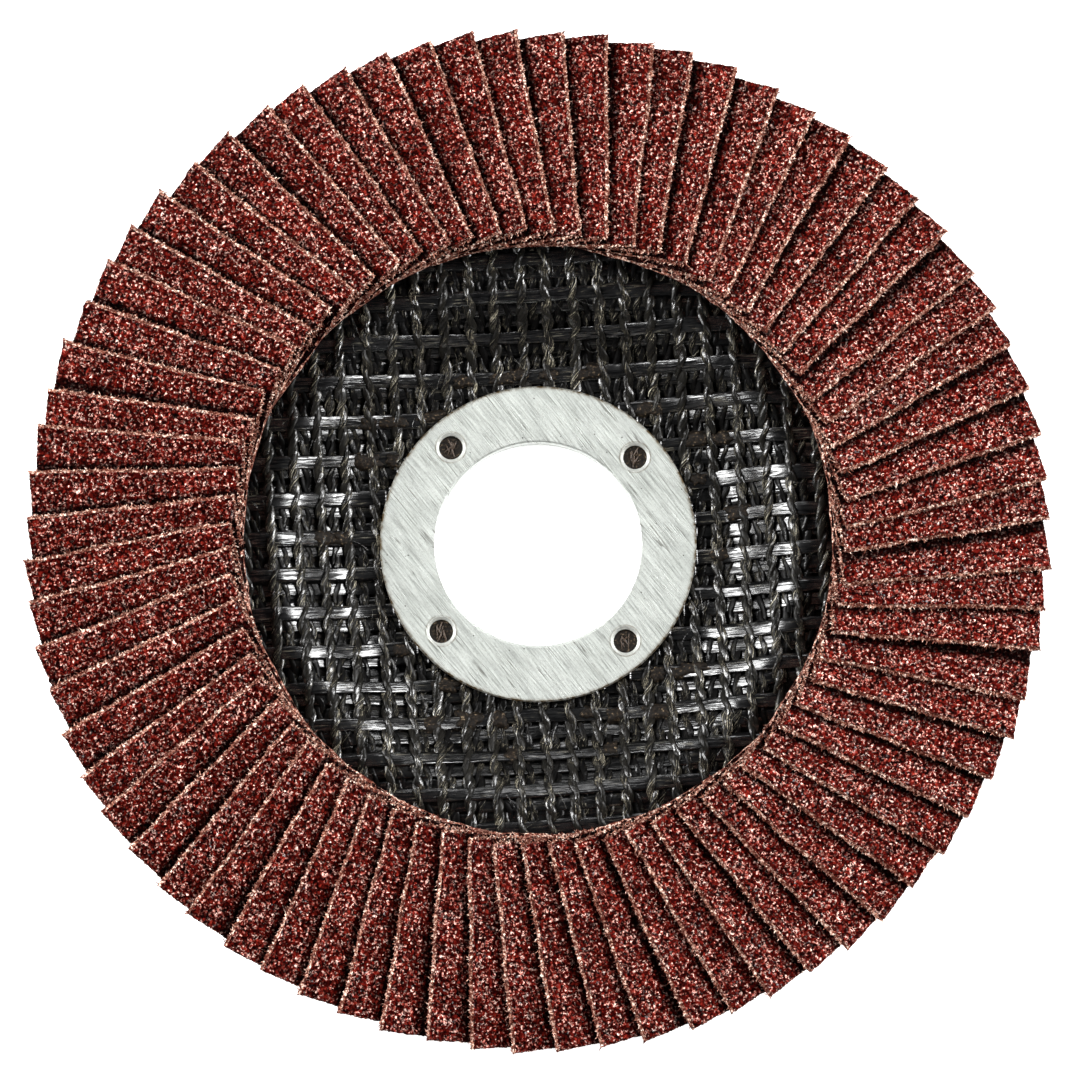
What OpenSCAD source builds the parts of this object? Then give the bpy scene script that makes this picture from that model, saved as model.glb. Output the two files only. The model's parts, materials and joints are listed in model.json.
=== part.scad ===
// Conical flap disc for an angle grinder: overlapping abrasive-cloth flaps bonded to a dished
// glass-fibre plate, with a pressed steel ring round the spindle bore.
// The disc lies on its hub: z = 0 is the back seating face, and the flaps face +Z.

/* [Disc] */
// Diameter across the flaps' outer corners
disc_d = 112; // [108:0.5:118]
// Number of flaps, two to a node
flap_count = 72; // [60:4:76]

/* [Flaps] */
// Length of a flap from its inner end to its outer end
flap_length = 23; // [20:0.1:24]
// Width of a flap across the radius
flap_width = 16; // [14:0.5:18]
// Thickness of the coated cloth
flap_t = 0.8; // [0.6:0.05:0.8]
// Space left between neighbouring flaps at their inner ends
flap_gap = 0.04; // [0.03:0.01:0.1]

/* [Backing plate] */
// Outside diameter of the plate
plate_d = 105; // [100:0.5:106]
// Thickness of one resin-soaked ply
ply_t = 0.65; // [0.55:0.05:0.8]
// Radius where the flat hub ends and the dished wall begins
dish_in_r = 19.5; // [18.5:0.5:21]
// Radius of the crest where the dished wall ends and the sloping rim begins
dish_out_r = 29.5; // [29:0.5:30]
// Height of the crest above the hub
dish_depth = 5; // [5:0.25:6]
// Slope of the rim and of the flaps, which fall from the crest outwards
cone_angle = 10; // [9:0.5:11]

/* [Hub] */
// Diameter of the spindle bore
bore_d = 22.23; // [22.2:0.01:22.4]
// Outside diameter of the steel ring
ring_d = 34.6; // [34:0.2:36]
// Thickness of the ring's flange
ring_t = 0.8; // [0.6:0.1:1]
// Wall of the neck that lines the bore
neck_wall = 0.7; // [0.5:0.05:0.8]
// Diameter of each pierced hole in the ring
pierced_d = 2.6; // [2:0.1:3]
// Diameter of the circle that the pierced holes lie on
pierced_pcd = 28.5; // [28:0.1:29]
// Angle of the first pierced hole from +X
pierced_start = 42; // [0:1:89]
// Number of pierced holes
pierced_count = 4; // [3:1:4]

/* [Adhesive and label] */
// Thickness of the adhesive bed under the flaps
bed_t = 0.9; // [0.7:0.05:0.9]
// Adhesive left below the lowest edge of a flap
bed_under_flap = 0.3; // [0.2:0.05:0.3]
// Outside diameter of the paper label on the back of the rim
label_d = 92; // [80:1:98]
// Inside diameter of the paper label
label_hole_d = 62; // [60:1:66]
// Thickness of the paper label
label_t = 0.12; // [0.1:0.01:0.2]

/* [Hidden] */
// Clearance between the neck and the pieces that it passes through
fit_gap = 0.02;
// Radius of the bend between the ring's flange and its neck
bend_r = 0.3;
// Height at which the neck starts to flare outwards, and the height of its flared end
flare_z = 0.5;
neck_end_z = 0.1;
// Small edge chamfer on the steel pieces
edge_c = 0.15;
// Radius that each pierced hole's rim opens to, and the depth and wall of its down-turned collar
pierced_rim = 0.3;
collar_depth = 0.45;
collar_wall = 0.3;
// How far the adhesive bed stops short of the flaps' inner ends and of the plate's edge
bed_margin_in = 1.6;
bed_margin_out = 1.2;
// Steps along the dished wall and along the bend
dish_steps = 14;
bend_steps = 6;
fine = 180;
round_fn = 48;

bore_r = bore_d / 2;
ring_r = ring_d / 2;
plate_r = plate_d / 2;
pitch = 360 / flap_count;
neck_r = bore_r + neck_wall;
plate_hole_r = neck_r + fit_gap;
PLY_NAMES = ["glass_ply_back", "glass_ply_inner_back", "glass_ply_inner_front", "glass_ply_front"];
ply_count = len(PLY_NAMES);
hub_front_z = ply_count * ply_t;
crest_front_z = hub_front_z + dish_depth;

// Neighbouring flaps come closest at the low inner corner, at this radius and angle between them.
corner_r = sqrt(pow(disc_d / 2, 2) - pow(flap_width / 2, 2)) - flap_length;
corner_a = asin(flap_width / 2 / corner_r) - pitch / 2;
// The tilt across a flap's width leaves room there for its thickness and the gap.
stack_rise = (flap_t + flap_gap) / (2 * corner_r * sin(pitch / 2));
slope_share = sin(cone_angle) * sin(corner_a);
flap_tilt = asin(stack_rise / norm([cos(corner_a), slope_share])) + atan2(slope_share, cos(corner_a));

// A flap's raised outer corner lies at disc_d / 2. These are offsets of its corners from its mid line.
half_across = flap_width / 2 * cos(flap_tilt) - flap_t / 2 * sin(flap_tilt);
half_rise = flap_width / 2 * sin(flap_tilt) + flap_t / 2 * cos(flap_tilt);
flap_out = sqrt(pow(disc_d / 2, 2) - pow(half_across, 2));
flap_in = flap_out - flap_length * cos(cone_angle) - half_rise * sin(cone_angle);
flap_low_z = rim_front_z(flap_in - half_rise * sin(cone_angle)) + bed_under_flap;
flap_mid_z = flap_low_z + half_rise * cos(cone_angle);

PAIR_NAMES = [for (i = [0 : flap_count / 2 - 1]) str("flap_pair_", i < 9 ? "0" : "", i + 1)];

// Height of the dished wall above the hub at radius r, along half a cosine wave.
function dish_z(r) =
    r <= dish_in_r ? 0
    : r >= dish_out_r ? dish_depth
    : dish_depth * (1 - cos(180 * (r - dish_in_r) / (dish_out_r - dish_in_r))) / 2;

// Height of the sloping rim's front face at radius r, and of its back face.
function rim_front_z(r) = crest_front_z - (r - dish_out_r) * tan(cone_angle);
function rim_back_z(r) = rim_front_z(r) - hub_front_z;

// The line of the plate from its bore to its edge, in a plane through the axis.
function plate_line(z) = concat(
    [[plate_hole_r, z]],
    [for (i = [0 : dish_steps])
        let (r = dish_in_r + (dish_out_r - dish_in_r) * i / dish_steps) [r, z + dish_z(r)]],
    [[plate_r, z + rim_back_z(plate_r)]]
);

function reversed(list) = [for (i = [len(list) - 1 : -1 : 0]) list[i]];

module at_pierced_holes(z) {
    for (i = [0 : pierced_count - 1])
        rotate([0, 0, pierced_start + i * 360 / pierced_count])
            translate([pierced_pcd / 2, 0, z])
                children();
}

module collar(height) {
    difference() {
        cylinder(h = height, r = pierced_d / 2 + collar_wall, $fn = round_fn);
        translate([0, 0, -1])
            cylinder(h = height + 2, r = pierced_d / 2, $fn = round_fn);
    }
}

// Flange, bend, neck and flared end of the steel ring, in a plane through the axis.
module ring_profile() {
    front_z = hub_front_z + ring_t;
    knee = neck_wall * tan(22.5);
    flare = flare_z - neck_end_z;
    polygon(concat(
        [
            [ring_r, hub_front_z],
            [ring_r, front_z - edge_c],
            [ring_r - edge_c, front_z]
        ],
        [for (i = [0 : bend_steps])
            let (a = 90 + 90 * i / bend_steps)
            [bore_r + bend_r + bend_r * cos(a), front_z - bend_r + bend_r * sin(a)]],
        [
            [bore_r, flare_z - knee],
            [bore_r + flare - knee, neck_end_z],
            [neck_r + flare, neck_end_z],
            [neck_r, flare_z],
            [neck_r, hub_front_z]
        ]
    ));
}

module hub_ring() {
    rim_r = pierced_d / 2 + pierced_rim;
    color("silver") {
        difference() {
            rotate_extrude($fn = fine) ring_profile();
            at_pierced_holes(hub_front_z - 1)
                cylinder(h = ring_t + 2, r = pierced_d / 2, $fn = round_fn);
            at_pierced_holes(hub_front_z + ring_t - pierced_rim)
                cylinder(h = 2 * pierced_rim, r1 = pierced_d / 2, r2 = rim_r + pierced_rim, $fn = round_fn);
        }
        at_pierced_holes(hub_front_z - collar_depth)
            collar(collar_depth);
    }
}

// One ply of the plate, counted from the back. The back ply is countersunk for the ring's flare,
// and the front ply is moulded round the ring's collars.
module glass_ply(index) {
    z = index * ply_t;
    color([0.09, 0.09, 0.1])
        difference() {
            rotate_extrude($fn = fine)
                polygon(concat(plate_line(z), reversed(plate_line(z + ply_t))));
            if (index == 0)
                translate([0, 0, -1])
                    cylinder(h = flare_z + 1, r1 = plate_hole_r + flare_z + 1, r2 = plate_hole_r, $fn = fine);
            if (index == ply_count - 1)
                at_pierced_holes(hub_front_z - collar_depth)
                    collar(1);
        }
}

module flap() {
    translate([flap_in, 0, flap_mid_z])
        rotate([0, cone_angle, 0])
            rotate([-flap_tilt, 0, 0])
                translate([0, -flap_width / 2, -flap_t / 2])
                    cube([flap_length, flap_width, flap_t]);
}

module flap_pair(index) {
    color([0.42, 0.16, 0.13])
        for (i = [0 : 1])
            rotate([0, 0, -(2 * index + i) * pitch])
                flap();
}

// The bed holds a slot for the lower edge of each flap.
module adhesive_bed() {
    in_r = flap_in + bed_margin_in;
    out_r = plate_r - bed_margin_out;
    color([0.3, 0.24, 0.18])
        difference() {
            rotate_extrude($fn = fine)
                polygon([
                    [in_r, rim_front_z(in_r)],
                    [out_r, rim_front_z(out_r)],
                    [out_r, rim_front_z(out_r) + bed_t],
                    [in_r, rim_front_z(in_r) + bed_t]
                ]);
            for (i = [0 : flap_count - 1])
                rotate([0, 0, -i * pitch])
                    flap();
        }
}

module back_label() {
    in_r = label_hole_d / 2;
    out_r = label_d / 2;
    color([0.75, 0.73, 0.68])
        rotate_extrude($fn = fine)
            polygon([
                [in_r, rim_back_z(in_r) - label_t],
                [out_r, rim_back_z(out_r) - label_t],
                [out_r, rim_back_z(out_r)],
                [in_r, rim_back_z(in_r)]
            ]);
}

hub_ring();
for (i = [0 : ply_count - 1])
    glass_ply(i);
adhesive_bed();
back_label();
for (i = [0 : len(PAIR_NAMES) - 1])
    flap_pair(i);
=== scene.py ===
import json
import math

import bmesh
import bpy
import numpy as np
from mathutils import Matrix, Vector


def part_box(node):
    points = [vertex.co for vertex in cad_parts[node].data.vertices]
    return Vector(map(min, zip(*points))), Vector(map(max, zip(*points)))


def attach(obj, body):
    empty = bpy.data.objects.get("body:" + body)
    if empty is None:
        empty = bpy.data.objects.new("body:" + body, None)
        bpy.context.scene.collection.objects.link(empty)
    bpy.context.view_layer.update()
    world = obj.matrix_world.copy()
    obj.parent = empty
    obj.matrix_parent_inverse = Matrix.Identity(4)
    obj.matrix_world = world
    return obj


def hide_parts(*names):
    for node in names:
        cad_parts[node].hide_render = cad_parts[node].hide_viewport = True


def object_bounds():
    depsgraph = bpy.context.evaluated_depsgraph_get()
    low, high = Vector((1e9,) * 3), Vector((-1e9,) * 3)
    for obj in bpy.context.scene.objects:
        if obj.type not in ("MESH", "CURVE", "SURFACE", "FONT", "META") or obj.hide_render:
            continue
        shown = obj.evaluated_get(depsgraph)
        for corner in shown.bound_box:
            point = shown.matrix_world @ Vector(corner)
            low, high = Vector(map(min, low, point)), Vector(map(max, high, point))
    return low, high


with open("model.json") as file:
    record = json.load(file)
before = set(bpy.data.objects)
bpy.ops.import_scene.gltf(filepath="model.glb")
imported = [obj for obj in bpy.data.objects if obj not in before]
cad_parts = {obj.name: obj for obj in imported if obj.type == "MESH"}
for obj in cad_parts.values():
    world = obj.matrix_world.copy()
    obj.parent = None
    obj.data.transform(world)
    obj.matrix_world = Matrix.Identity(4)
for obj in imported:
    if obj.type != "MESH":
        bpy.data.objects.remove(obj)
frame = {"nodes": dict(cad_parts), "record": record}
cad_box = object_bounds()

MM = 0.001
SEED = 7

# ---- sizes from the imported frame

BODY = "root"
PLY_NODES = ["glass_ply_back", "glass_ply_inner_back", "glass_ply_inner_front", "glass_ply_front"]
PAIR_NODES = sorted(n for n in frame["nodes"] if n.startswith("flap_pair_"))

ring_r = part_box("hub_ring")[1].x
bore_r = next(m["dims"]["r_mm"] for m in frame["record"]["mounts"] if m["name"] == "arbor_bore") * MM
plate_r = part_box("glass_ply_front")[1].x


def node_points(node):
    """The corners of a CAD node's mesh, one row each."""
    points = np.empty(len(frame["nodes"][node].data.vertices) * 3)
    frame["nodes"][node].data.vertices.foreach_get("co", points)
    return points.reshape(-1, 3)


def plate_profile(node, front):
    """Radii and heights of a ply's front or back face, outside the steel ring."""
    points = node_points(node)
    radius = np.round(np.hypot(points[:, 0], points[:, 1]), 5)
    found = sorted(set(radius[radius > ring_r + 1.2 * MM]))
    pick = np.max if front else np.min
    return np.array(found), np.array([pick(points[radius == r, 2]) for r in found])


front_profile = plate_profile("glass_ply_front", True)
back_profile = plate_profile("glass_ply_back", False)


def pierced_holes():
    """Centres of the ring's pierced holes, found from their down-turned collars, and the holes' radius."""
    points = node_points("hub_ring")
    below_flange = points[:, 2] < front_profile[1][0] - 0.1 * MM
    outside_neck = np.hypot(points[:, 0], points[:, 1]) > bore_r + 1.3 * MM
    low = points[below_flange & outside_neck]
    turn = np.arctan2(low[:, 1], low[:, 0])
    order = np.argsort(turn)
    groups = np.split(low[order], np.flatnonzero(np.diff(turn[order]) > 0.3) + 1)
    centres = [(g.min(0) + g.max(0))[:2] / 2 for g in groups]
    return centres, np.hypot(*(groups[0][:, :2] - centres[0]).T).min()


ring_holes, hole_r = pierced_holes()


def front_z(r):
    """Height of the plate's front face at radius r."""
    return np.interp(r, *front_profile)


def back_z(r):
    """Height of the plate's back face at radius r."""
    return np.interp(r, *back_profile)


# ---- mesh helpers


def add_mesh(name, points, faces, materials, face_slots=None, attributes=None):
    """A smooth mesh piece. Each array in faces has faces of one size, which share a material slot."""
    mesh = bpy.data.meshes.new(name)
    points = np.asarray(points, np.float32)
    mesh.vertices.add(len(points))
    mesh.vertices.foreach_set("co", points.ravel())
    faces = [np.asarray(f, np.int32) for f in faces]
    loops = np.concatenate([f.ravel() for f in faces])
    sizes = np.concatenate([np.full(len(f), f.shape[1]) for f in faces])
    mesh.loops.add(len(loops))
    mesh.loops.foreach_set("vertex_index", loops)
    mesh.polygons.add(len(sizes))
    mesh.polygons.foreach_set("loop_start", (np.cumsum(sizes) - sizes).astype(np.int32))
    if face_slots is not None:
        slots = np.concatenate([np.full(len(f), s) for f, s in zip(faces, face_slots)])
        mesh.polygons.foreach_set("material_index", slots.astype(np.int32))
    mesh.update(calc_edges=True)
    for key, values in (attributes or {}).items():
        values = np.asarray(values, np.float32)
        kind = "FLOAT" if values.ndim == 1 else "FLOAT_VECTOR"
        layer = mesh.attributes.new(key, kind, "POINT")
        layer.data.foreach_set("value" if kind == "FLOAT" else "vector", values.ravel())
    mesh.polygons.foreach_set("use_smooth", np.ones(len(sizes), bool))
    for material in materials:
        mesh.materials.append(material)
    piece = bpy.data.objects.new(name, mesh)
    bpy.context.scene.collection.objects.link(piece)
    return piece


def place(piece, slot, *nodes):
    """Puts a finished piece on the disc, in the place of the CAD nodes that it stands for."""
    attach(piece, BODY)
    if nodes:
        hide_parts(*nodes)


class Parts:
    """Collects separate closed shapes into one mesh."""

    def __init__(self):
        self.points, self.faces, self.strand, self.count = [], [], [], 0

    def add(self, points, quads, strand=None):
        self.points.append(points)
        self.faces.append(np.asarray(quads) + self.count)
        self.strand.append(np.zeros((len(points), 3)) if strand is None else strand)
        self.count += len(points)

    def piece(self, name, material):
        return add_mesh(
            name,
            np.concatenate(self.points),
            [np.concatenate(self.faces)],
            [material],
            attributes={"strand": np.concatenate(self.strand)},
        )


def circle(count):
    """Equally spaced angles, once round."""
    return np.arange(count) * 2 * math.pi / count


def grid_quads(rows, columns, closed=False):
    """Quads of a grid of points stored row by row. With closed, the last column joins the first."""
    i, j = np.meshgrid(np.arange(rows - 1), np.arange(columns if closed else columns - 1), indexing="ij")
    k = (j + 1) % columns
    quads = [i * columns + j, i * columns + k, (i + 1) * columns + k, (i + 1) * columns + j]
    return np.stack([q.ravel() for q in quads], 1)


def cap_quads(first, sides, flip):
    """Quads that close a tube's end, for an even number of sides."""
    quads = [(k, k + 1, sides - 2 - k, sides - 1 - k) for k in range(sides // 2 - 1)]
    quads = np.array(quads) + first
    return quads[:, ::-1] if flip else quads


def tube(path, up, half_width, half_height, sides, ident=0.0, twist=0.0, ridges=1.0):
    """Points, quads and strand coordinates of a closed tube with an oval section along a path."""
    along = np.gradient(path, axis=0)
    along /= np.linalg.norm(along, axis=1)[:, None]
    side = np.cross(along, up)
    side /= np.linalg.norm(side, axis=1)[:, None]
    top = np.cross(side, along)
    run = np.concatenate([[0], np.cumsum(np.linalg.norm(np.diff(path, axis=0), axis=1))])
    angle = circle(sides)
    wide = (np.cos(angle)[None] * ridges)[:, :, None] * side[:, None] * np.reshape(half_width, (-1, 1, 1))
    high = (np.sin(angle)[None] * ridges)[:, :, None] * top[:, None] * np.reshape(half_height, (-1, 1, 1))
    points = (path[:, None] + wide + high).reshape(-1, 3)
    turned = angle[None] + twist * run[:, None]
    strand = np.stack([np.repeat(run[:, None], sides, 1) / MM, np.cos(turned) + ident, np.sin(turned)], -1)
    rings = len(path)
    quads = np.concatenate([
        grid_quads(rings, sides, closed=True),
        cap_quads(0, sides, False),
        cap_quads((rings - 1) * sides, sides, True),
    ])
    return points, quads, strand.reshape(-1, 3)


def cell_noise(u, v, pitch, rng):
    """Sharp tilted grains on a jittered grid: a height from 0 to 1.3 at each point, low between grains."""
    valley = 0.35
    low_u, low_v = u.min() - 2 * pitch, v.min() - 2 * pitch
    rows = int((u.max() - low_u) / pitch) + 4
    columns = int((v.max() - low_v) / pitch) + 4
    seat_u = rng.uniform(0.1, 0.9, (rows, columns))
    seat_v = rng.uniform(0.1, 0.9, (rows, columns))
    level = rng.uniform(0.25, 1.0, (rows, columns))
    tilt_u = rng.uniform(-0.9, 0.9, (rows, columns))
    tilt_v = rng.uniform(-0.9, 0.9, (rows, columns))
    x, y = (u - low_u) / pitch, (v - low_v) / pitch
    cell_x, cell_y = x.astype(int), y.astype(int)
    nearest, second = np.full(x.shape, 9.0), np.full(x.shape, 9.0)
    height = np.zeros(x.shape)
    for step_x in (-1, 0, 1):
        for step_y in (-1, 0, 1):
            i, j = cell_x + step_x, cell_y + step_y
            dx, dy = x - i - seat_u[i, j], y - j - seat_v[i, j]
            distance = np.hypot(dx, dy)
            own = level[i, j] + tilt_u[i, j] * dx + tilt_v[i, j] * dy
            closer = distance < nearest
            second = np.where(closer, nearest, np.minimum(second, distance))
            height = np.where(closer, own, height)
            nearest = np.minimum(nearest, distance)
    return np.clip(height, 0, 1.3) * np.clip((second - nearest) / valley, 0.0, 1.0)


def smooth_noise(x, rng, pitch, size):
    """Smooth random wander of the given size along x."""
    knots = np.arange(x.min() - pitch, x.max() + 2 * pitch, pitch)
    values = rng.uniform(-size, size, len(knots))
    t = (x - knots[0]) / pitch
    k = np.clip(t.astype(int), 0, len(knots) - 2)
    s = t - k
    s = s * s * (3 - 2 * s)
    return values[k] * (1 - s) + values[k + 1] * s


# ---- material helpers


class Nodes:
    """Short calls for building one material."""

    def __init__(self, name):
        self.material = bpy.data.materials.new(name)
        self.material.use_nodes = True
        self.tree = self.material.node_tree
        self.tree.nodes.clear()
        self.shader = self.tree.nodes.new("ShaderNodeBsdfPrincipled")
        output = self.tree.nodes.new("ShaderNodeOutputMaterial")
        self.tree.links.new(self.shader.outputs[0], output.inputs[0])

    def add(self, kind, settings=None, **inputs):
        node = self.tree.nodes.new("ShaderNode" + kind)
        for key, value in (settings or {}).items():
            setattr(node, key, value)
        for key, value in inputs.items():
            self.put(node.inputs[int(key[1:]) if key[0] == "i" and key[1:].isdigit() else key], value)
        return node

    def put(self, socket, value):
        if isinstance(value, bpy.types.NodeSocket):
            self.tree.links.new(value, socket)
        else:
            socket.default_value = value

    def set(self, **inputs):
        for key, value in inputs.items():
            self.put(self.shader.inputs[key.replace("_", " ")], value)

    def where(self):
        return self.add("TexCoord").outputs["Object"]

    def attribute(self, name, output="Vector"):
        return self.add("Attribute", {"attribute_name": name}).outputs[output]

    def scaled(self, vector, scale, turn=0.0):
        """Turns coordinates about Z, and then stretches them."""
        turned = self.add("Mapping", Vector=vector, Rotation=(0, 0, turn)).outputs[0]
        return self.add("Mapping", Vector=turned, Scale=scale).outputs[0]

    def noise(self, vector, scale, detail=3.0, rough=0.55):
        return self.add("TexNoise", Vector=vector, Scale=scale, Detail=detail, Roughness=rough).outputs[0]

    def cells(self, vector, scale, output="Distance", feature="F1"):
        return self.add("TexVoronoi", {"feature": feature}, Vector=vector, Scale=scale).outputs[output]

    def ramp(self, factor, *stops):
        """Maps factor to colours, each stop being a position and its colour."""
        node = self.add("ValToRGB", Fac=factor)
        while len(node.color_ramp.elements) < len(stops):
            node.color_ramp.elements.new(0.5)
        for element, (position, colour) in zip(node.color_ramp.elements, stops):
            element.position = position
            element.color = (*colour, 1)
        return node.outputs[0]

    def grey(self, factor, low, high, start=0.0, end=1.0):
        """Maps factor from start..end to low..high."""
        node = self.add("MapRange", i0=factor, i1=start, i2=end, i3=low, i4=high)
        return node.outputs[0]

    def maths(self, operation, first, second=0.0):
        return self.add("Math", {"operation": operation}, i0=first, i1=second).outputs[0]

    def mix(self, factor, first, second, blend="MIX"):
        node = self.add("Mix", {"data_type": "RGBA", "blend_type": blend}, i0=factor)
        self.put(node.inputs[6], first if isinstance(first, bpy.types.NodeSocket) else (*first, 1))
        self.put(node.inputs[7], second if isinstance(second, bpy.types.NodeSocket) else (*second, 1))
        return node.outputs[2]

    def times(self, vector, amount):
        node = self.add("VectorMath", {"operation": "SCALE"}, i0=vector)
        self.put(node.inputs["Scale"], amount)
        return node.outputs[0]

    def bump(self, height, strength, distance, normal=None):
        node = self.add("Bump", Height=height, Strength=strength, Distance=distance)
        if normal is not None:
            self.put(node.inputs["Normal"], normal)
        return node.outputs[0]

    def facets(self, cell_colour, amount):
        """A normal that leans a different way on each cell, like the faces of broken crystals."""
        centred = self.add("VectorMath", {"operation": "SUBTRACT"}, i0=cell_colour, i1=(0.5, 0.5, 0.5))
        lean = self.times(centred.outputs[0], amount)
        normal = self.add("NewGeometry").outputs["Normal"]
        total = self.add("VectorMath", {"operation": "ADD"}, i0=normal, i1=lean)
        return self.add("VectorMath", {"operation": "NORMALIZE"}, i0=total.outputs[0]).outputs[0]


# ---- materials


def grain_material():
    """Crushed brown-red grain in dark resin, with pale broken edges that are painted highlights, a few pale
    faces that are painted glints, and painted shade low between the grains and where the next flap's raised
    edge overlaps.
    """
    grains_per_metre = 3000
    n = Nodes("abrasive_grain")
    where = n.where()
    stir = n.add("TexNoise", Vector=where, Scale=1800.0, Detail=1.0).outputs["Color"]
    curled = n.add("VectorMath", {"operation": "ADD"}, i0=where, i1=n.times(stir, 0.5 * MM)).outputs[0]
    grains = n.cells(curled, grains_per_metre, "Color")
    chips = n.cells(where, 4600, "Color")
    pick = n.add("SeparateColor", i0=grains).outputs[0]
    chip = n.add("SeparateColor", i0=chips).outputs[1]
    body = n.ramp(
        pick,
        (0.0, (0.016, 0.0006, 0.0005)),
        (0.35, (0.048, 0.0022, 0.0014)),
        (0.7, (0.090, 0.0052, 0.0034)),
        (0.92, (0.135, 0.010, 0.0065)),
        (1.0, (0.20, 0.018, 0.011)),
    )
    # painted highlights: pale lines along the grains' edges, broken up by noise
    painted_edge_highlights = n.grey(n.cells(curled, grains_per_metre, feature="DISTANCE_TO_EDGE"), 1.0, 0.0, 0.05, 0.15)
    broken = n.grey(n.noise(where, 2400, 1.0), 0.0, 1.0, 0.52, 0.57)
    # painted glints: a few chips turned pale
    painted_glints = n.grey(chip, 0.0, 1.0, 0.94, 0.97)
    pale = n.maths("MAXIMUM", n.maths("MULTIPLY", painted_edge_highlights, broken), painted_glints)
    tone = n.ramp(
        n.noise(where, 2600, 1.0),
        (0.36, (0.26, 0.050, 0.037)),
        (0.50, (0.56, 0.22, 0.175)),
        (0.62, (0.98, 0.65, 0.56)),
    )
    colour = n.mix(pale, body, tone)
    patches = n.grey(n.noise(where, 240, 2.0), 0.75, 1.25, 0.3, 0.7)
    # painted shade: the colour darkens towards the low points between grains
    depth = n.grey(n.attribute("grain_height", "Fac"), 0.03, 1.25, 0.05, 0.85)
    # painted shade: the grain darkens under the next flap's raised edge
    painted_fold_shade = n.grey(n.attribute("painted_fold_shade", "Fac"), 1.0, 0.10, 0.0, 0.9)
    # painted shade of the grains' valleys and under the next flap, times the random tone of the patches
    shade = n.maths("MULTIPLY", n.maths("MULTIPLY", depth, patches), painted_fold_shade)
    glint = n.grey(n.add("SeparateColor", i0=chips).outputs[0], 0.0, 0.35, 0.95, 0.97)
    facets = n.facets(chips, 0.8)
    n.set(Base_Color=n.times(colour, shade))
    n.set(Roughness=n.grey(chip, 0.55, 0.75))
    n.set(Specular_IOR_Level=0.01)
    n.set(Normal=facets)
    # the painted shade under the next flap also takes the coat's glints away
    n.set(Coat_Weight=n.maths("MULTIPLY", glint, painted_fold_shade))
    n.set(Coat_IOR=1.8)
    n.set(Coat_Roughness=0.25)
    n.set(Coat_Normal=facets)
    return n.material


def cloth_material():
    """Cut and frayed cloth under the grain, pale pink on its edges and brick red on its back, with the lower
    half of each cut wall fading to that brick red as painted shade between the stacked flaps.
    """
    n = Nodes("abrasive_cloth")
    where = n.where()
    back = n.attribute("cloth_back_and_wall_shade", "Fac")
    threads = n.noise(where, 3600, 2.0, 0.6)
    tufts = n.noise(where, 2700, 2.0, 0.6)
    worn = n.noise(where, 620, 2.0, 0.6)
    pale = n.ramp(
        threads,
        (0.34, (0.07, 0.016, 0.010)),
        (0.45, (0.29, 0.10, 0.060)),
        (0.53, (0.60, 0.32, 0.235)),
        (0.61, (1.0, 0.85, 0.73)),
    )
    gritty = n.ramp(
        threads,
        (0.40, (0.045, 0.005, 0.003)),
        (0.55, (0.13, 0.026, 0.015)),
        (0.66, (0.45, 0.19, 0.12)),
    )
    soiled = n.mix(n.grey(tufts, 0.95, 0.0, 0.44, 0.53), pale, (0.060, 0.009, 0.006))
    soiled = n.mix(n.grey(worn, 0.7, 0.0, 0.42, 0.52), soiled, gritty)
    brick = n.ramp(n.noise(where, 2600, 4.0, 0.65), (0.3, (0.06, 0.016, 0.012)), (0.7, (0.13, 0.04, 0.028)))
    # the back's brick red also covers the lower cut walls as painted shade
    n.set(Base_Color=n.mix(back, soiled, brick))
    n.set(Roughness=n.grey(threads, 0.65, 0.95))
    n.set(Normal=n.bump(threads, 0.6, 0.0001))
    n.set(Specular_IOR_Level=0.06)
    return n.material


def yarn_material(name, soak, bare, dull, wet_gloss, wrinkle):
    """Glass yarn soaked in black resin.

    Soak is the colour of the soaked yarn, and bare is how much of it shows pale, dry filaments.
    Dull and wet_gloss are the gloss where the resin is matte and where it is wet.
    Wrinkle is how far the filaments stand out.
    """
    n = Nodes(name)
    strand = n.attribute("strand")
    where = n.where()
    filaments = n.noise(n.scaled(strand, (0.40, 4.6, 4.6)), 1.0, 2.0, 0.6)
    wet = n.noise(where, 430, 3.0, 0.6)
    drops = n.noise(where, 950, 2.0, 0.5)
    streaks = n.grey(filaments, 0.0, 1.0, 0.57, 0.62)
    dryness = n.maths("MULTIPLY", n.maths("MULTIPLY", streaks, n.grey(wet, 0.0, 1.0, 0.48, 0.58)), bare)
    soaked = n.mix(n.grey(filaments, 0.0, 1.0, 0.35, 0.6), (0.0010, 0.0010, 0.0012), soak)
    dry = n.ramp(
        filaments,
        (0.56, (0.07, 0.057, 0.036)),
        (0.64, (0.22, 0.195, 0.14)),
        (0.72, (0.50, 0.47, 0.37)),
    )
    lit = n.grey(filaments, 0.10, 1.0, 0.42, 0.50)
    gloss = n.maths("MULTIPLY", lit, n.grey(drops, dull, wet_gloss, 0.52, 0.60))
    wrinkled = n.bump(filaments, wrinkle, 0.00010)
    n.set(Base_Color=n.mix(dryness, soaked, dry))
    n.set(Roughness=n.grey(wet, 0.45, 0.70, 0.35, 0.65))
    n.set(Specular_IOR_Level=0.05)
    n.set(Normal=wrinkled)
    n.set(Coat_Weight=gloss)
    n.set(Coat_IOR=2.3)
    n.set(Coat_Roughness=0.19)
    n.set(Coat_Normal=wrinkled)
    return n.material


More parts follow.
